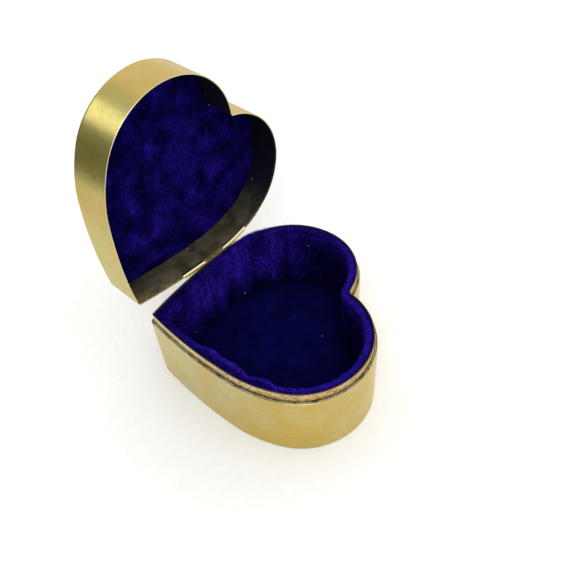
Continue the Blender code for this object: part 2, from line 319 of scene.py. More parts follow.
class Nodes:
    """A material's node tree, with short ways to add and link its nodes."""

    def __init__(self, name):
        self.material = bpy.data.materials.new(name)
        self.material.use_nodes = True
        self.tree = self.material.node_tree
        self.shader = self.tree.nodes["Principled BSDF"]
        self.place = self.add("ShaderNodeTexCoord").outputs["Object"]

    def add(self, kind, **settings):
        node = self.tree.nodes.new(kind)
        for key, value in settings.items():
            setattr(node, key, value)
        return node

    def link(self, source, target):
        self.tree.links.new(source, target)

    def put(self, value, socket):
        if isinstance(value, bpy.types.NodeSocket):
            self.link(value, socket)
        else:
            socket.default_value = value

    def noise(self, size, detail, stretch=(1, 1, 1), roughness=0.5, distortion=0.0):
        mapping = self.add("ShaderNodeMapping")
        self.link(self.place, mapping.inputs["Vector"])
        mapping.inputs["Scale"].default_value = [s / size for s in stretch]
        texture = self.add("ShaderNodeTexNoise")
        self.link(mapping.outputs["Vector"], texture.inputs["Vector"])
        texture.inputs["Scale"].default_value = 1
        texture.inputs["Detail"].default_value = detail
        texture.inputs["Roughness"].default_value = roughness
        texture.inputs["Distortion"].default_value = distortion
        return texture.outputs["Fac"]

    def attribute(self, name):
        return self.add("ShaderNodeAttribute", attribute_name=name).outputs["Fac"]

    def ranged(self, value, low, high, to_low=0.0, to_high=1.0):
        node = self.add("ShaderNodeMapRange")
        for number, item in enumerate((value, low, high, to_low, to_high)):
            self.put(item, node.inputs[number])
        return node.outputs["Result"]

    def math(self, operation, a, b):
        node = self.add("ShaderNodeMath", operation=operation)
        self.put(a, node.inputs[0])
        self.put(b, node.inputs[1])
        return node.outputs["Value"]

    def mix(self, share, a, b):
        node = self.add("ShaderNodeMix", data_type="RGBA")
        self.put(share, node.inputs["Factor"])
        self.put(a, node.inputs["A"])
        self.put(b, node.inputs["B"])
        return next(s for s in node.outputs if s.type == "RGBA")

    def bump(self, heights):
        """Bumps one over another. Each is (height, distance, strength)."""
        normal = None
        for height, distance, strength in heights:
            node = self.add("ShaderNodeBump")
            node.inputs["Distance"].default_value = distance
            node.inputs["Strength"].default_value = strength
            self.link(height, node.inputs["Height"])
            if normal:
                self.link(normal, node.inputs["Normal"])
            normal = node.outputs["Normal"]
        self.link(normal, self.shader.inputs["Normal"])

    def set(self, **inputs):
        for key, value in inputs.items():
            self.put(value, self.shader.inputs[key.replace("_", " ")])
        return self.material


def brass_material(name, pale, warm, roughness, tarnish, spotless=0.56):
    """Hand-polished sheet brass: cloudy tone, fine polishing lines, a few brown tarnish spots.
    The attribute gold says how far its tone goes from pale to warm."""
    n = Nodes(name)
    clouds = n.noise(17 * MM, 3, distortion=0.6)
    gilt = n.math("ADD", n.ranged(clouds, 0.35, 0.65, -0.4, 0.4), n.attribute("gold"))
    colour = n.mix(n.ranged(gilt, 0, 1.2), pale, warm)
    smears = n.noise(7 * MM, 3, roughness=0.6, distortion=1.2)
    colour = n.mix(n.ranged(smears, 0.5, 0.8, 0, 0.14), colour, (0.30, 0.27, 0.12, 1))
    spots = n.noise(1.6 * MM, 4, roughness=0.62)
    spotted = n.ranged(spots, spotless, spotless + 0.12, 0, tarnish)
    spotted = n.math("MULTIPLY", spotted, n.ranged(n.attribute("gold"), 0, 1, 0.4, 1))
    colour = n.mix(spotted, colour, (0.30, 0.16, 0.06, 1))
    dents = n.noise(9 * MM, 2, distortion=0.8)
    lines = n.noise(0.4 * MM, 3, stretch=(1, 1, 0.06))
    gloss = n.math("ADD", n.ranged(smears, 0.3, 0.7, -0.03, 0.05), roughness)
    n.bump([(dents, 0.3 * MM, 0.06), (lines, 0.01 * MM, 0.006)])
    tint = (0.97, 0.93, 0.8, 1)
    return n.set(Base_Color=colour, Metallic=1.0, Roughness=gloss, Specular_Tint=tint)


def patina_material():
    """The lid's unpolished inside: brown-black, with bare brass where the attribute says it is worn, and a
    painted reflection of the dark velvet lining, bluish black, where the attribute black says.
    """
    n = Nodes("dark_patina")
    clouds = n.noise(9 * MM, 5, roughness=0.6, distortion=0.4)
    streaks = n.noise(2.5 * MM, 4, stretch=(1, 1, 0.3))
    colour = n.mix(n.ranged(clouds, 0.3, 0.7), (0.085, 0.075, 0.04, 1), (0.30, 0.26, 0.155, 1))
    # painted reflection of the dark velvet lining, bluish black
    colour = n.mix(n.attribute("black"), colour, (0.02, 0.022, 0.036, 1))
    worn = n.math("MULTIPLY", n.attribute("worn"), n.ranged(streaks, 0.3, 0.6))
    colour = n.mix(worn, colour, (0.66, 0.54, 0.22, 1))
    n.bump([(clouds, 0.3 * MM, 0.15), (streaks, 0.05 * MM, 0.3)])
    gloss = n.ranged(clouds, 0.3, 0.7, 0.4, 0.55)
    return n.set(Base_Color=colour, Metallic=0.8, Roughness=gloss)


def velvet_material(name, dark, light, bright, mottle, tip_glint_share):
    """Pile whose way of lying changes in patches, with painted light: the attribute stored on each piece
    says how much light is painted into the colour, from dark through light to a painted glint. Fibre tips
    get painted highlights.
    """
    streak = (1, 1, 0.4)
    n = Nodes(name)
    fibres = n.noise(0.7 * MM, 2, stretch=streak, roughness=0.6)
    tufts = n.noise(2.2 * MM, 5, stretch=streak, roughness=0.7)
    lit_lay = n.math("ADD", n.attribute("lay_and_light"), n.ranged(tufts, 0.3, 0.7, -mottle, mottle))
    share = n.ranged(lit_lay, 0.0, 1.0)
    colour = n.mix(share, dark, light)
    # painted glint where the painted light is strongest
    colour = n.mix(n.ranged(lit_lay, 0.5, 1.1), colour, bright)
    # painted highlights on the fibre tips, where the pile is painted lit
    tip_glints = n.math("MULTIPLY", n.ranged(fibres, 0.42, 0.68, 0, tip_glint_share), n.ranged(lit_lay, 0, 0.8))
    colour = n.mix(tip_glints, colour, (0.08, 0.048, 0.42, 1))
    n.bump([(tufts, 0.4 * MM, 0.3), (fibres, 0.25 * MM, 0.5)])
    return n.set(
        Base_Color=colour,
        Roughness=0.95,
        Specular_IOR_Level=0.0,
        Sheen_Weight=n.ranged(share, 0, 1, 0.02, 0.2),
        Sheen_Roughness=0.4,
        Sheen_Tint=(0.12, 0.04, 1.0, 1),
    )


def lint_material():
    n = Nodes("lint")
    mottling = n.noise(0.3 * MM, 3)
    colour = n.mix(n.ranged(mottling, 0.35, 0.65), (0.30, 0.32, 0.36, 1), (0.62, 0.64, 0.66, 1))
    return n.set(Base_Color=colour, Roughness=0.9)


def grime_material():
    """Dull solder in the groove between wall and collar, with dark residue in its hollows."""
    n = Nodes("groove_grime")
    lumps = n.noise(4 * MM, 5, roughness=0.65)
    colour = n.mix(n.ranged(lumps, 0.36, 0.52), (0.10, 0.095, 0.06, 1), (0.55, 0.51, 0.34, 1))
    n.bump([(lumps, 0.3 * MM, 0.5)])
    return n.set(Base_Color=colour, Roughness=0.5, Metallic=0.3)


def card_material():
    n = Nodes("grey_card")
    pulp = n.noise(0.8 * MM, 6, roughness=0.7)
    colour = n.mix(n.ranged(pulp, 0.35, 0.65), (0.36, 0.31, 0.24, 1), (0.52, 0.47, 0.38, 1))
    n.bump([(pulp, 0.1 * MM, 0.5)])
    return n.set(Base_Color=colour, Roughness=0.92)


def wadding_material():
    n = Nodes("cotton_wadding")
    fluff = n.noise(2.5 * MM, 8, roughness=0.75, distortion=1.2)
    colour = n.mix(n.ranged(fluff, 0.3, 0.7), (0.7, 0.68, 0.6, 1), (0.88, 0.87, 0.82, 1))
    n.bump([(fluff, 0.6 * MM, 0.8)])
    return n.set(Base_Color=colour, Roughness=1.0, Sheen_Weight=0.3)


# Brass shells

PLATE_ROWS = 28


def sheet_wall(name, inset, bottom, top, bow, rows, seed):
    """A strip of sheet bent round the heart, with eased edges and a hand-made unevenness.
    Its material slots are 0 outside, 1 on the edges and 2 inside."""
    lift = 0.06 * MM * field(ring(inset, 0), 11 * MM, seed=3)
    rings, slots = [], []

    def add(depth, height, slot):
        wave = bow * field(ring(inset, height / 2), 24 * MM, seed, octaves=2)
        raised = height + lift * smooth_step(height, bottom, top)
        rings.append(ring(inset + depth + wave, raised))
        slots.append(slot)

    def eased_corners(edge, upwards):
        """Two quarter rounds across an edge, from the outside in for the top and back for the bottom."""
        outer, inner = EDGE_ROUND, SHEET - EDGE_ROUND
        middles = (outer, inner) if upwards > 0 else (inner, outer)
        for number, middle in enumerate(middles):
            for step in range(4):
                angle = (number + step / 3) * pi / 2
                depth = middle - upwards * EDGE_ROUND * cos(angle)
                add(depth, edge - upwards * EDGE_ROUND * (1 - sin(angle)), 1)

    levels = np.linspace(bottom + 1.5 * EDGE_ROUND, top - 1.5 * EDGE_ROUND, rows)
    for height in levels:
        add(0, height, 0)
    eased_corners(top, 1)
    slots[-1] = 2
    for height in levels[::-1]:
        add(SHEET, height, 2)
    slots[-1] = 1
    eased_corners(bottom, -1)
    slots[-1] = 0
    return swept(name, rings, closed=True, slots=slots)


def shrunk(points, scale):
    """The ring drawn in towards the heart's middle."""
    flat = HEART_MIDDLE + scale * (points[:, :2] - HEART_MIDDLE)
    return np.column_stack([flat, points[:, 2]])


def plate(name, low, high, face_up):
    """A flat sheet, slightly uneven on its show face, with eased edges."""
    ease = 0.3 * MM
    show, back = (high, low) if face_up else (low, high)
    outwards = 1 if face_up else -1
    rings = [ring(0.6 * MM, back), ring(0.12 * MM, back + outwards * 0.05 * MM)]
    for step in range(5):
        angle = step * pi / 8
        rings.append(ring(ease * (1 - cos(angle)), show - outwards * ease * (1 - sin(angle))))
    edge = rings[-1]
    for k in range(1, PLATE_ROWS):
        level = shrunk(edge, 1 - k / PLATE_ROWS)
        fade = min(1, 3 * k / PLATE_ROWS)
        level[:, 2] -= outwards * fade * 0.1 * MM * (1 + field(level, 30 * MM, seed=5, octaves=2))
        rings.append(level)
    return swept(name, rings, closed=False)


# Velvet

ROLL_STEPS = 22
FACE_ROWS = 64
PAD_ROWS = 66
PAD_EDGE = 1.0 * MM
FAR_SWELL = 0.55 * MM  # how much higher the roll stands along the -X flank
FIBRES = 5200
FIBRE_RADIUS = 0.075 * MM
TUFT_FIBRES = 1500
TUFT_PLACE = 67 * MM  # from the point, along the -X flank
TUFT_SPREAD = 5 * MM
FRINGE_REACH = 1.4  # millimetres that a fibre may lean outwards and stay clear of the shut lid
LINT_LENGTH = 1.2 * MM

# Folds of the loose lining on the +X flank: distance from the point, half width, reach inwards
FOLDS = ((43 * MM, 13 * MM, 2.4 * MM), (52 * MM, 4 * MM, 0.8 * MM), (66 * MM, 5.5 * MM, 1.6 * MM))


def pile(points, seed):
    """Small lumps of the pile, in metres."""
    return 0.1 * MM * field(points, 1.3 * MM, seed, 2) + 0.16 * MM * field(points, 4 * MM, seed + 1)


def slack_share():
    """Where the wall's lining has come loose from the collar: along the +X flank only."""
    return (SIDE > 0) * rise(18, 34) * (1 - rise(66, 78))


def fold_reach():
    reach = sum(depth * np.exp(-(((FROM_TIP - place) / half) ** 4)) for place, half, depth in FOLDS)
    lumps = 0.3 * field(ring(0, 0), 3.5 * MM, seed=11, octaves=2)
    return (SIDE > 0) * reach * (1 + lumps)


def far_wall_share():
    """Where the lining's face catches the light: along the -X flank, less near the point."""
    return np.where(SIDE < 0, 1 - rise(84, 112), 0.0) * (0.5 + 0.5 * rise(12, 30))


def roll_rings(edge, slack):
    """The roll at the lining's top, ring by ring from the collar inwards, with each ring's share of painted
    light.
    Where the lining is slack, the roll dips behind the collar and swells into a crest further in, with
    painted shade in the dip and a painted highlight on the crest."""
    far_side = np.where(SIDE < 0, rise(45, 80), 0.0)
    near_cleft = np.where(SIDE < 0, rise(112, 135), 1.0)
    roll_brightness = (0.45 + 0.55 * rise(10, 40)) * (0.6 + 0.4 * near_cleft)
    frayed = field(ring(0, 0), 2.6 * MM, seed=14, octaves=2)
    start = CARD_INSET - 0.2 * MM * far_side
    rings, ring_lay_and_light = [], []
    for step in range(ROLL_STEPS + 1):
        angle = pi * step / ROLL_STEPS
        across = (1 - cos(angle)) / 2
        dip = 0.9 * np.exp(-(((across - 0.4) / 0.2) ** 2))
        height = LINING_CREST + VELVET * sin(angle) - slack * (dip + 0.5 * across) * MM
        swell = far_side * max(0, sin(angle)) ** 0.5 * FAR_SWELL
        rings.append(ring(start + (edge - start) * across, height + swell))
        # painted light on the roll: darker at the collar side, near the point, and along the -X flank short
        # of the cleft
        roll_lay_and_light = (0.34 + 0.28 * smooth_step(across, 0, 0.4)) * roll_brightness
        # painted shade in the slack roll's dip and a painted highlight on its crest
        slack_shade_and_light = 0.22 + 0.42 * smooth_step(across + 0.16 * frayed, 0.42, 0.68)
        ring_lay_and_light.append(roll_lay_and_light + (slack_shade_and_light - roll_lay_and_light) * slack)
    return rings, ring_lay_and_light


def face_rings(edge, top):
    """The lining's padded face, ring by ring from the roll down to the floor, with each ring's share of
    painted light: a painted pool of light across the middle of the -X flank's face, and painted shade
    darkening the face towards the floor.
    """
    far_wall = far_wall_share()
    rings, ring_lay_and_light = [], []
    for k in range(1, FACE_ROWS + 1):
        share = k / FACE_ROWS
        fold = field(ring(0, 0.2 * k * MM), 9 * MM, seed=13, octaves=2)
        inset = LINING_FACE_INSET + (edge - LINING_FACE_INSET) * (1 - share) ** 1.6
        inset = inset + 0.3 * MM * fold * min(1, 4 * (1 - share), 4 * share + 0.3)
        rings.append(ring(inset, top + (LINING_BOTTOM - top) * share))
        # height profile of the painted pool of light on the far wall's face
        brushed = exp(-(((share - 0.4) / 0.38) ** 2))
        # lighter just under the roll, painted shade down towards the floor
        lit_top = 0.45 * (1 - smooth_step(share, 0, 0.3))
        ring_lay_and_light.append(0.12 + 0.55 * brushed * far_wall + lit_top * (1 - 0.6 * far_wall))
    return rings, ring_lay_and_light


def add_pile(rings, ring_lay_and_light):
    """Lumps of pile on the wall's lining, upwards on its roll and inwards below, and streaks in how the
    pile lies, stronger where light is painted on the far wall.
    """
    far_wall = far_wall_share()
    for level, points in enumerate(rings):
        inwards = shrunk(points, 0.98) - points
        inwards /= np.maximum(np.linalg.norm(inwards, axis=1, keepdims=True), 1e-9)
        on_roll = max(0, 1 - level / ROLL_STEPS)
        normal = inwards * (1 - on_roll) + np.array((0, 0, 1)) * on_roll
        fade = 1 if level > 1 else 0.3
        streaks = 0.28 * field(points * (1, 1, 0.25), 6 * MM, 22, 4)
        ring_lay_and_light[level] = ring_lay_and_light[level] + streaks * (0.35 + far_wall)
        rings[level] = points + normal * (pile(points, seed=21) * fade)[:, None]


def wall_velvet():
    """The lining of the base's walls: a roll at the top, a padded face and a plain back."""
    slack = slack_share()
    puckers = field(ring(0, 0), 8 * MM, seed=12, octaves=2)
    edge = LINING_FACE_INSET + fold_reach() + 0.25 * puckers * MM
    rings, ring_lay_and_light = roll_rings(edge, slack)
    face, face_lay_and_light = face_rings(edge, rings[-1][:, 2])
    rings += face
    ring_lay_and_light += face_lay_and_light
    add_pile(rings, ring_lay_and_light)
    rings.append(ring(LINING_BACK_INSET, LINING_BOTTOM))
    rings.append(ring(LINING_BACK_INSET, LINING_CREST - slack * 1.2 * MM - 0.1 * MM))
    rings.append(ring(CARD_INSET, LINING_CREST - 0.1 * MM))
    ring_lay_and_light += [np.zeros(COUNT)] * 3
    obj = swept("wall_lining", rings, closed=True)
    store(obj, "lay_and_light", np.concatenate(ring_lay_and_light))
    return obj


def fibre_roots(draw):
    """The lining's vertices that fibres stand on: first all along its roll, then in the tuft."""
    innermost = ROLL_STEPS - 3
    level = np.minimum(draw.integers(1, innermost, FIBRES), draw.integers(1, innermost, FIBRES))
    station = draw.integers(0, COUNT, FIBRES)
    far_side = np.flatnonzero(SIDE < 0)
    brushed = draw.normal(TUFT_PLACE, TUFT_SPREAD, TUFT_FIBRES)
    nearest = np.abs(FROM_TIP[far_side] - brushed[:, None]).argmin(axis=1)
    level = np.append(level, draw.integers(4, 13, TUFT_FIBRES))
    station = np.append(station, far_side[nearest])
    return level * COUNT + station


def fibre(draw, root, normal, in_tuft):
    """A thin closed spike. In the tuft it is longer and leans out over the collar."""
    outwards = Vector((*(root.xy - Vector(HEART_MIDDLE)).normalized(), 0))
    direction = normal + Vector(draw.normal(0, 0.45, 3).tolist())
    length = draw.uniform(0.5, 1.3)
    if in_tuft:
        direction += outwards + Vector((0, 0, 1))
        length += 1.6
    direction.normalize()
    length = min(length, FRINGE_REACH / max(direction.dot(outwards), 0.1))
    side = direction.orthogonal().normalized() * FIBRE_RADIUS
    across = direction.cross(side)
    root = root - direction * 0.1 * MM
    tip = root + direction * float(length) * MM
    corners = (root + side, root - side / 2 + across * 0.87, root - side / 2 - across * 0.87)
    points = np.array([list(p) for p in (*corners, tip)])
    return points, [(2, 1, 0), (0, 1, 3), (1, 2, 3), (2, 0, 3)]


def pile_fringe(lining):
    """Loose fibres standing up along the roll. Just past the hinge, where the pile has been brushed
    over the collar, they stand in a thick tuft."""
    draw = np.random.default_rng(7)
    vertices = lining.data.vertices
    bodies = []
    for number, index in enumerate(fibre_roots(draw)):
        vertex = vertices[index]
        bodies.append(fibre(draw, vertex.co, vertex.normal, in_tuft=number >= FIBRES))
    fringe = joined("pile_fringe", bodies)
    store(fringe, "lay_and_light", draw.uniform(0.3, 1.2, len(fringe.data.vertices)))
    return fringe


def specks(name, places, seed):
    """Short bent bits of lint. Each place, in millimetres, is where one lies."""
    draw = np.random.default_rng(seed)
    bodies = []
    for place in places:
        radius = float(draw.uniform(0.08, 0.13)) * MM
        heading = Vector(draw.normal(0, 1, 3).tolist()).normalized()
        bend = heading.orthogonal().normalized()
        across = heading.cross(bend)
        rings = []
        for step in range(6):
            share = step / 5 - 0.5
            middle = Vector(place) * MM + (heading * share + bend * share**2) * LINT_LENGTH
            thickness = radius * (1 - 1.6 * share**2)
            turns = (2 * pi * i / 6 for i in range(6))
            rings.append([tuple(middle + (bend * cos(t) + across * sin(t)) * thickness) for t in turns])
        bodies.append(lofted(rings))
    return joined(name, bodies)


def pad_velvet(name, inset, back, front, crown, seed, lay_and_light, edge_wander=0.0, shaded_edge=0.0):
    """A velvet-covered pad: crowned face, rolled edge, hollow behind for its card and wadding."""
    outwards = 1 if front > back else -1
    wander = edge_wander * field(ring(0, 0), 6 * MM, seed + 3, octaves=2)
    inner = inset + VELVET
    rings = [ring(inner + 0.05 * MM, front - outwards * VELVET), ring(inner + 0.05 * MM, back)]
    rings.append(ring(inset + wander, back))
    for step in range(7):
        angle = step * pi / 12
        depth = PAD_EDGE * (1 - sin(angle))
        rings.append(ring(inset + wander + PAD_EDGE * (1 - cos(angle)), front - outwards * depth))
    edge, last_of_edge = rings[-1], len(rings) - 1
    for k in range(1, PAD_ROWS):
        share = k / PAD_ROWS
        level = shrunk(edge, 1 - share)
        dome = crown * smooth_step(share, 0, 0.5)
        puckers = 0.35 * MM * field(level, 13 * MM, seed + 2, octaves=2) * min(1, 6 * share)
        level[:, 2] += outwards * (dome + puckers)
        rings.append(level)
    ring_lay_and_light = [np.zeros(COUNT)] * 2
    for level in range(2, len(rings)):
        points = rings[level]
        # painted shade towards the pad's edge, where it meets the wall's lining
        middle = 1 - shaded_edge * exp(-max(0, level - last_of_edge) / 12)
        lit_lay = lay_and_light[0] + lay_and_light[1] * field(points, 9 * MM, seed + 4, 3)
        ring_lay_and_light.append(np.maximum(lit_lay, 0.4 * lay_and_light[0]) * middle)
        if level > 3:  # the pile starts in front of the pad's widest ring
            points[:, 2] += outwards * pile(points, seed)
    obj = swept(name, rings, closed=False)
    store(obj, "lay_and_light", np.concatenate(ring_lay_and_light))
    return obj


# Hinge. Places are (s, u, height): along the axis, inwards from it, and above the base's rim.

BASE_KNUCKLE = (-7.0 * MM, 5.2 * MM)
BRIDGE = (-8.0 * MM, 6.0 * MM)  # where the lid's leaf passes above the base's knuckle
BARREL = (-17.5 * MM, 14.0 * MM)
LEAF_SPAN = (-21.5 * MM, 21.5 * MM)
KNUCKLE_GAP = 0.3 * MM
BARREL_RADIUS = 1.1 * MM
BORE_RADIUS = 0.58 * MM
PIN_RADIUS = 0.5 * MM
BARREL_SIDES = 40
LEAF_HEIGHT = 2.1 * MM
LEAF_END_HEIGHT = 1.1 * MM
NOTCH_DEPTH = 1.15 * MM
NOTCH_MARGIN = 0.3 * MM
INWARDS = Vector((HINGE_AXIS.y, -HINGE_AXIS.x, 0))


def hinge_place(s, u, height):
    p = HINGE_POINT + HINGE_AXIS * float(s) + INWARDS * float(u)
    return p.x, p.y, RIM + height


def wall_distance(s, inset):
    """How far in from the axis the heart at this inset lies, for places s along the axis."""
    points = heart(inset)[SIDE < 0] - np.array(HINGE_POINT[:2])
    along, across = points @ np.array(HINGE_AXIS[:2]), points @ np.array(INWARDS[:2])
    near = across < 15 * MM
    order = np.argsort(along[near])
    return np.interp(s, along[near][order], across[near][order])


def beside_knuckle(span):
    """The two spans that the base's knuckle leaves at either side of it."""
    low, high = BASE_KNUCKLE
    return (span[0], low - KNUCKLE_GAP), (high + KNUCKLE_GAP, span[1])


def section_body(span, section):
    """A bar curved with the wall. The section gives (u, height) pairs for arrays of places s."""
    places = np.linspace(*span, 2 + int((span[1] - span[0]) / (0.5 * MM)))
    columns = [np.broadcast_arrays(u, height) for u, height in section(places)]
    rings = []
    for k, s in enumerate(places):
        rings.append([hinge_place(s, u[k], height[k]) for u, height in columns])
    return lofted(rings)


def turned(profile, capped):
    """A body turned about the hinge axis from (s, radius) pairs."""
    axis_height = HINGE_POINT.z - RIM
    rings = []
    for s, radius in profile:
        turns = (2 * pi * i / BARREL_SIDES for i in range(BARREL_SIDES))
        rings.append([hinge_place(s, radius * cos(t), axis_height + radius * sin(t)) for t in turns])
    return lofted(rings, capped)


def knuckle(span):
    start, end = span
    ease = 0.15 * MM
    profile = [
        (start + ease, BARREL_RADIUS),
        (end - ease, BARREL_RADIUS),
        (end - 0.3 * ease, BARREL_RADIUS - 0.3 * ease),
        (end, BARREL_RADIUS - ease),
        (end, BORE_RADIUS),
        (start, BORE_RADIUS),
        (start, BARREL_RADIUS - ease),
        (start + 0.3 * ease, BARREL_RADIUS - 0.3 * ease),
    ]
    return turned(profile, capped=False)


def pin():
    """The pin, with its ends peened over into low domes."""
    head = 0.25 * MM
    profile = []
    for end, outwards in ((BARREL[0] - KNUCKLE_GAP, -1), (BARREL[1] + KNUCKLE_GAP, 1)):
        dome = []
        for step in range(7):
            angle = 0.05 + step * (pi / 2 - 0.05) / 6
            dome.append((end - outwards * head * (1 - cos(angle)), PIN_RADIUS * sin(angle)))
        profile += dome if outwards < 0 else dome[::-1]
    return joined("hinge_rod", [turned(profile, capped=True)])


def leaf_top(s):
    share = np.clip((s - BASE_KNUCKLE[1]) / (LEAF_SPAN[1] - BASE_KNUCKLE[1]), 0, 1)
    return LEAF_HEIGHT + (LEAF_END_HEIGHT - LEAF_HEIGHT) * share


def lid_strip(low):
    """The lid leaf's strip along the inside of the wall, with a sloping lower edge."""

    def section(s):
        top = leaf_top(s)
        corners = ((0.56, low), (0.66, low), (1.24, low + 0.66 * MM), (1.3, low + 0.8 * MM))
        pairs = [(wall_distance(s, w * MM), np.minimum(h, top - 0.2 * MM)) for w, h in corners]
        for w, drop in ((1.3, 0.15), (1.2, 0), (0.62, 0), (0.56, 0.06)):
            pairs.append((wall_distance(s, w * MM), top - drop * MM))
        return pairs

    return section


def flat_tab(heights, inner, reach, edge, edge_span):
    """A thin tab through the wall's notch, as far out as the barrel where there is one."""

    def section(s):
        outer = wall_distance(s, -reach) if reach else np.full(len(s), edge)
        beside_barrel = (s > edge_span[0]) & (s < edge_span[1])
        outer = np.where(beside_barrel, np.minimum(outer, edge), outer)
        inside = wall_distance(s, inner)
        low, high = heights
        middle = (low + high) / 2
        ease = 0.08 * MM
        return [
            (outer, middle),
            (outer + ease, low),
            (inside, low),
            (inside, high),
            (outer + ease, high),
        ]

    return section


def lid_leaf():
    bodies = []
    for span in beside_knuckle(LEAF_SPAN):
        bodies.append(section_body(span, lid_strip(0.16 * MM)))
        shorter = (span[0] + 0.4 * MM, span[1] - 0.4 * MM)
        tab = flat_tab((0.42 * MM, 0.78 * MM), 0.9 * MM, 0.9 * MM, 0.72 * MM, BARREL)
        bodies.append(section_body(shorter, tab))
    bodies.append(section_body(BRIDGE, lid_strip(1.55 * MM)))
    bodies += [knuckle(span) for span in beside_knuckle(BARREL)]
    return joined("lid_leaf", bodies)


def base_leaf():
    def strip(s):
        levels = ((0.75, -2.1), (1.15, -2.1), (1.15, -0.2), (1.1, -0.15), (0.8, -0.15), (0.75, -0.2))
        return [(wall_distance(s, w * MM), h * MM) for w, h in levels]

    tab = flat_tab((-0.55 * MM, -0.22 * MM), 0.95 * MM, 0, 0.23 * MM, BASE_KNUCKLE)
    shorter = (BASE_KNUCKLE[0] + 0.2 * MM, BASE_KNUCKLE[1] - 0.2 * MM)
    bodies = [section_body(BARREL, strip), section_body(shorter, tab), knuckle(BASE_KNUCKLE)]
    return joined("base_leaf", bodies)


def widened(span, margin):
    return span[0] - margin, span[1] + margin


def cut_notch(obj, span):
    """Cuts a notch for the hinge into the rim of a wall."""
    near, far = 0.7 * MM, 5.3 * MM
    rings = []
    for height in (-NOTCH_DEPTH, NOTCH_DEPTH):
        places = ((span[0], near), (span[1], near), (span[1], far), (span[0], far))
        rings.append([hinge_place(s, u, height) for s, u in places])
    cutter = joined("notch", [lofted(rings)])
    modifier = obj.modifiers.new("Notch", "BOOLEAN")
    modifier.operation = "DIFFERENCE"
    modifier.solver = "EXACT"
    modifier.object = cutter
    settle(obj)
    bpy.data.objects.remove(cutter)


def build_hinge(brass):
    finished(lid_leaf(), [brass], "lid_hinge_leaf", "lid", lid=True)
    finished(base_leaf(), [brass], "base_hinge_leaf", "base")
    finished(pin(), [brass], "hinge_pin", "base")


# Tones and wear of the brass, and painted reflections on the lid


def gilding(points):
    """The base's brass goes from pale at the point to golden round the lobes."""
    return smooth_step(points[:, 1], -45 * MM, 5 * MM)


def lid_tone_and_reflection(points):
    """The lid's brass is golden round the lobes and at the middle of the flanks, olive between. The bands
    lie where the open lid shows its bright and dark reflections, so they are partly the brass's tone and
    partly painted reflection.
    """
    flank = np.exp(-(((points[:, 1] + 14 * MM) / (8 * MM)) ** 2))
    return smooth_step(points[:, 1], 22 * MM, 31 * MM) + flank


def painted_reflection_share(points):
    """Painted reflection of the dark velvet lining: the lid's inside is painted nearly black round both
    lobes, beyond the hinge.
    """
    return smooth_step(points[:, 1] + 0.35 * points[:, 0], -28 * MM, 8 * MM)


def worn_rim(points):
    """How far the patina is worn off: most at the rim, and further down near the point."""
    reach = (1.2 + 7.5 * (1 - smooth_step(points[:, 1], -58 * MM, -18 * MM))) * MM
    depth = points[:, 2] - LID_RIM
    return np.clip(1 - depth / reach, 0, 1) ** 0.7 * (1 - 0.85 * painted_reflection_share(points))


# The object

# Where bits of lint lie, in millimetres, with the lid open
BASE_LINT = ((-44.5, 28, 30), (-37.5, -7.5, 7.5), (-12, -33.5, 9.5), (-3, 29, 6.2))
LID_LINT = ((-43, -33, 38.4), (-73.5, 3, 55), (-31, -42, 91), (-55.7, -12.5, 112.8), (-56.5, -11.8, 107.6))


def groove_bead():
    """An irregular bead of dull solder that nearly fills the groove between the wall and the collar.
    It lies low where the base's hinge leaf fills the groove."""
    low = RIM - 3 * MM
    outline = ring(0.95 * MM, 0)
    lumps = np.clip(field(outline, 3.5 * MM, seed=41, octaves=3), -1, 1)
    gaps = np.clip(field(outline, 6 * MM, seed=42, octaves=2), -1, 1)
    along = (outline[:, :2] - np.array(HINGE_POINT[:2])) @ np.array(HINGE_AXIS[:2])
    beside_leaf = (SIDE < 0) & (np.abs(along - sum(BARREL) / 2) < (BARREL[1] - BARREL[0]) / 2 + MM)
    top = RIM - (0.08 - 0.1 * lumps + 2.6 * beside_leaf) * MM
    near = SHEET + (0.22 + 0.06 * gaps) * MM
    far = COLLAR_INSET - (0.24 - 0.08 * gaps) * MM
    rings = [ring(near, low), ring(near, top - 0.1 * MM)]
    for share in (0.2, 0.5, 0.8):
        rings.append(ring(near + (far - near) * share, top + 0.12 * MM * sin(pi * share)))
    rings += [ring(far, top - 0.1 * MM), ring(far, low)]
    return swept("groove_grime", rings, closed=True)


def build_base(brass, edge_brass, aged, brown, dull, grime, velvet):
    shell = sheet_wall("base_shell", 0, PLATE_TOP + SEAM, RIM, 0.05 * MM, 20, seed=6)
    cut_notch(shell, widened(BASE_KNUCKLE, NOTCH_MARGIN))
    store(shell, "gold", gilding(coordinates(shell)))
    finished(shell, [brass, edge_brass, dull], "base_wall", "base")
    bottom = plate("base_bottom", 0, PLATE_TOP, face_up=False)
    finished(bottom, [brass], "base_floor_plate", "base")
    sleeve_bottom = PLATE_TOP + 0.3 * MM
    sleeve = sheet_wall("collar_sleeve", COLLAR_INSET, sleeve_bottom, COLLAR_TOP, 0.08 * MM, 24, seed=7)
    store(sleeve, "gold", gilding(coordinates(sleeve)))
    # the collar's edges get tarnished brass darkened into painted shade where the velvet meets the collar
    finished(sleeve, [aged, brown, dull], "inner_collar", "base")
    groove = groove_bead()
    finished(groove, [grime], None, "base")
    lining = wall_velvet()
    finished(lining, [velvet["wall"]], "wall_lining_velvet", "base", sharp=80)
    finished(pile_fringe(lining), [velvet["wall"]], None, "base")
    floor = pad_velvet(
        "floor_lining",
        FLOOR_INSET,
        LINING_BOTTOM,
        FLOOR_TOP,
        0.7 * MM,
        seed=31,
        lay_and_light=(0.4, 0.25),
        shaded_edge=0.75,
    )
    finished(floor, [velvet["floor"]], "floor_lining_velvet", "base", sharp=80)


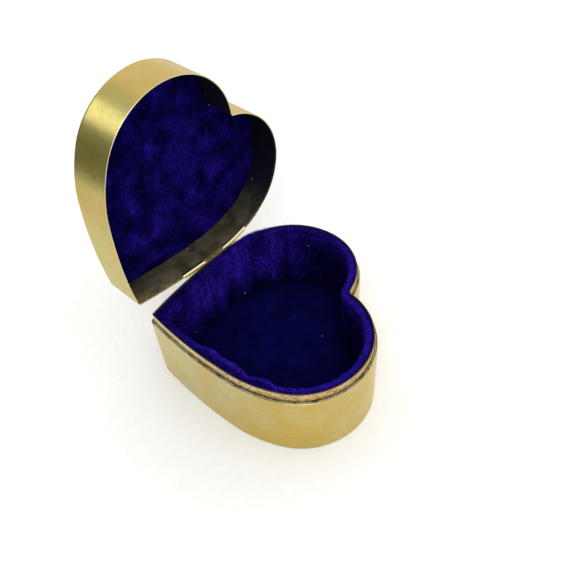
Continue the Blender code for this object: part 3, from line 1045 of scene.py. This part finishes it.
def build_lid(brass, edge_brass, patina, velvet):
    shell = sheet_wall("lid_shell", 0, LID_RIM, LID_PLATE_BOTTOM - SEAM, 0.04 * MM, 14, seed=8)
    for span in beside_knuckle(LEAF_SPAN):
        cut_notch(shell, widened(span, NOTCH_MARGIN))
    points = coordinates(shell)
    store(shell, "worn", worn_rim(points))
    store(shell, "black", painted_reflection_share(points))
    store(shell, "gold", lid_tone_and_reflection(points))
    finished(shell, [brass, edge_brass, patina], "lid_wall", "lid", lid=True)
    top = plate("lid_top", LID_PLATE_BOTTOM, LID_TOP, face_up=True)
    finished(top, [brass], "lid_top_plate", "lid", lid=True)
    pad = pad_velvet(
        "lid_lining",
        LID_LINING_INSET,
        LID_VELVET_BACK,
        LID_VELVET_FRONT,
        0.3 * MM,
        seed=51,
        lay_and_light=(0.26, 0.44),
        edge_wander=0.12 * MM,
    )
    finished(pad, [velvet["lid"]], "lid_lining_velvet", "lid", lid=True, sharp=80)


def build_lint():
    lint = lint_material()
    finished(specks("base_lint", BASE_LINT, seed=8), [lint], None, "base")
    finished(specks("lid_lint", LID_LINT, seed=9), [lint], None, "lid")


def dress_carried_nodes(card, wadding):
    """The hidden layers under the velvet keep their CAD nodes."""
    for name, node in frame["nodes"].items():
        if not node.hide_render:
            node.data.materials.clear()
            node.data.materials.append(card if name.endswith("card") else wadding)


# Floor, light and camera


def build_stage():
    mesh = bpy.data.meshes.new("studio_floor")
    left, right, near, far = -1.4, 1.4, -0.5, 1.4
    corners = [(left, near, 0), (right, near, 0), (right, far, 0), (left, far, 0)]
    mesh.from_pydata(corners, [], [(0, 1, 2, 3)])
    floor = bpy.data.objects.new("studio_floor", mesh)
    bpy.context.scene.collection.objects.link(floor)
    floor.location.z = -0.05 * MM
    n = Nodes("white_paper")
    grain = n.noise(3 * MM, 4)
    colour = n.mix(n.ranged(grain, 0.3, 0.7), (0.9, 0.9, 0.9, 1), (0.93, 0.93, 0.93, 1))
    mesh.materials.append(n.set(Base_Color=colour, Roughness=0.9, Specular_IOR_Level=0.1))


BRIGHT_SKY = (-0.5, 0.6, 0.62)  # the world is brightest in this direction and dim opposite it


def sky_colour(tree):
    """The world's colour by direction, through a ramp from dim to white."""
    place = tree.nodes.new("ShaderNodeTexCoord")
    towards = tree.nodes.new("ShaderNodeVectorMath")
    towards.operation = "DOT_PRODUCT"
    towards.inputs[1].default_value = BRIGHT_SKY
    shift = tree.nodes.new("ShaderNodeMath")
    shift.operation = "MULTIPLY_ADD"
    shift.inputs[1].default_value = 0.5
    shift.inputs[2].default_value = 0.5
    ramp = tree.nodes.new("ShaderNodeValToRGB")
    tree.links.new(place.outputs["Generated"], towards.inputs[0])
    tree.links.new(towards.outputs["Value"], shift.inputs[0])
    tree.links.new(shift.outputs["Value"], ramp.inputs["Fac"])
    stops = ramp.color_ramp.elements
    stops[0].position, stops[0].color = 0.27, (0.19, 0.2, 0.16, 1)
    stops[1].position, stops[1].color = 0.76, (1, 1, 1, 1)
    for position, level in ((0.5, 0.45), (0.69, 0.72)):
        stops.new(position).color = (level, level, level, 1)
    return ramp.outputs["Color"]


def build_world():
    """A studio that is dim towards -Y. The camera itself sees plain white behind the floor."""
    world = bpy.data.worlds.new("studio")
    world.use_nodes = True
    bpy.context.scene.world = world
    tree = world.node_tree
    background = tree.nodes["Background"]
    background.inputs["Strength"].default_value = 1.2
    tree.links.new(sky_colour(tree), background.inputs["Color"])
    path = tree.nodes.new("ShaderNodeLightPath")
    pale = tree.nodes.new("ShaderNodeBackground")
    pale.inputs["Color"].default_value = (1, 1, 1, 1)
    both = tree.nodes.new("ShaderNodeMixShader")
    tree.links.new(path.outputs["Is Camera Ray"], both.inputs["Fac"])
    tree.links.new(background.outputs["Background"], both.inputs[1])
    tree.links.new(pale.outputs["Background"], both.inputs[2])
    tree.links.new(both.outputs["Shader"], tree.nodes["World Output"].inputs["Surface"])


def softbox(name, place, target, size, power):
    data = bpy.data.lights.new(name, "AREA")
    data.shape = "RECTANGLE"
    data.size, data.size_y = size
    data.energy = power
    lamp = bpy.data.objects.new(name, data)
    bpy.context.scene.collection.objects.link(lamp)
    lamp.location = place
    lamp.rotation_mode = "QUATERNION"
    lamp.rotation_quaternion = (Vector(target) - Vector(place)).to_track_quat("-Z", "Y")


CAMERA_PLACE = (0.18177, 0.00537, 0.23172)
CAMERA_FORWARD = (-0.70316, 0.02816, -0.71047)
CAMERA_ROLL = radians(4.758)
LENS, SENSOR = 36.9, 36.0  # millimetres


def build_camera():
    data = bpy.data.cameras.new("camera")
    data.lens, data.sensor_width = LENS, SENSOR
    data.clip_start, data.clip_end = 0.01, 20
    camera = bpy.data.objects.new("camera", data)
    bpy.context.scene.collection.objects.link(camera)
    camera.location = CAMERA_PLACE
    forward = Vector(CAMERA_FORWARD).normalized()
    roll = Quaternion(forward, CAMERA_ROLL)
    camera.rotation_mode = "QUATERNION"
    camera.rotation_quaternion = roll @ forward.to_track_quat("-Z", "Y")
    bpy.context.scene.camera = camera


def main():
    build_camera()
    pale, warm = (0.58, 0.515, 0.255, 1), (0.58, 0.425, 0.115, 1)
    brass = brass_material("base_brass", pale, warm, 0.26, 0.06)
    lid_brass = brass_material("lid_brass", (0.52, 0.45, 0.15, 1), (0.495, 0.355, 0.105, 1), 0.26, 0.06)
    edge_brass = brass_material("edge_brass", (0.85, 0.78, 0.52, 1), pale, 0.2, 0.05)
    aged = brass_material("aged_brass", (0.80, 0.72, 0.46, 1), (0.68, 0.49, 0.21, 1), 0.45, 0.75, 0.47)
    # tarnished brass on the collar's edges, darkened further as painted shade where the velvet meets the
    # collar
    brown = brass_material("painted_shade_edge", (0.20, 0.13, 0.07, 1), (0.11, 0.07, 0.04, 1), 0.45, 0.9)
    dull = brass_material("dull_brass", (0.25, 0.2, 0.1, 1), (0.14, 0.1, 0.05, 1), 0.5, 0.8)
    patina = patina_material()
    # velvet colours: navy where unlit, then the painted lit colour and the painted glint
    navy, violet, glint = (0.0006, 0.0009, 0.012, 1), (0.007, 0.0018, 0.18, 1), (0.026, 0.0045, 0.34, 1)
    # the floor velvet's painted bluish sheen and its painted glint
    floor_sheen, blue_glint = (0.0032, 0.0045, 0.1, 1), (0.005, 0.016, 0.17, 1)
    velvet = {
        "wall": velvet_material("wall_velvet", navy, violet, glint, 0.2, 0.32),
        "floor": velvet_material("floor_velvet", navy, floor_sheen, blue_glint, 0.08, 0.06),
        "lid": velvet_material("lid_velvet", navy, violet, glint, 0.13, 0.2),
    }
    build_base(brass, edge_brass, aged, brown, dull, grime_material(), velvet)
    build_lid(lid_brass, edge_brass, patina, velvet)
    build_hinge(brass_material("hinge_brass", (0.78, 0.68, 0.38, 1), pale, 0.22, 0.2))
    build_lint()
    dress_carried_nodes(card_material(), wadding_material())
    build_stage()
    build_world()
    centre = (0, 0, 0.06)
    softbox("side_box", (-0.32, -1.07, 0.88), centre, (0.42, 0.42), 0.95)
    softbox("front_box", (1.2, -0.1, 1.3), centre, (1.0, 1.0), 12)
    bpy.context.scene.view_settings.view_transform = "Standard"


main()
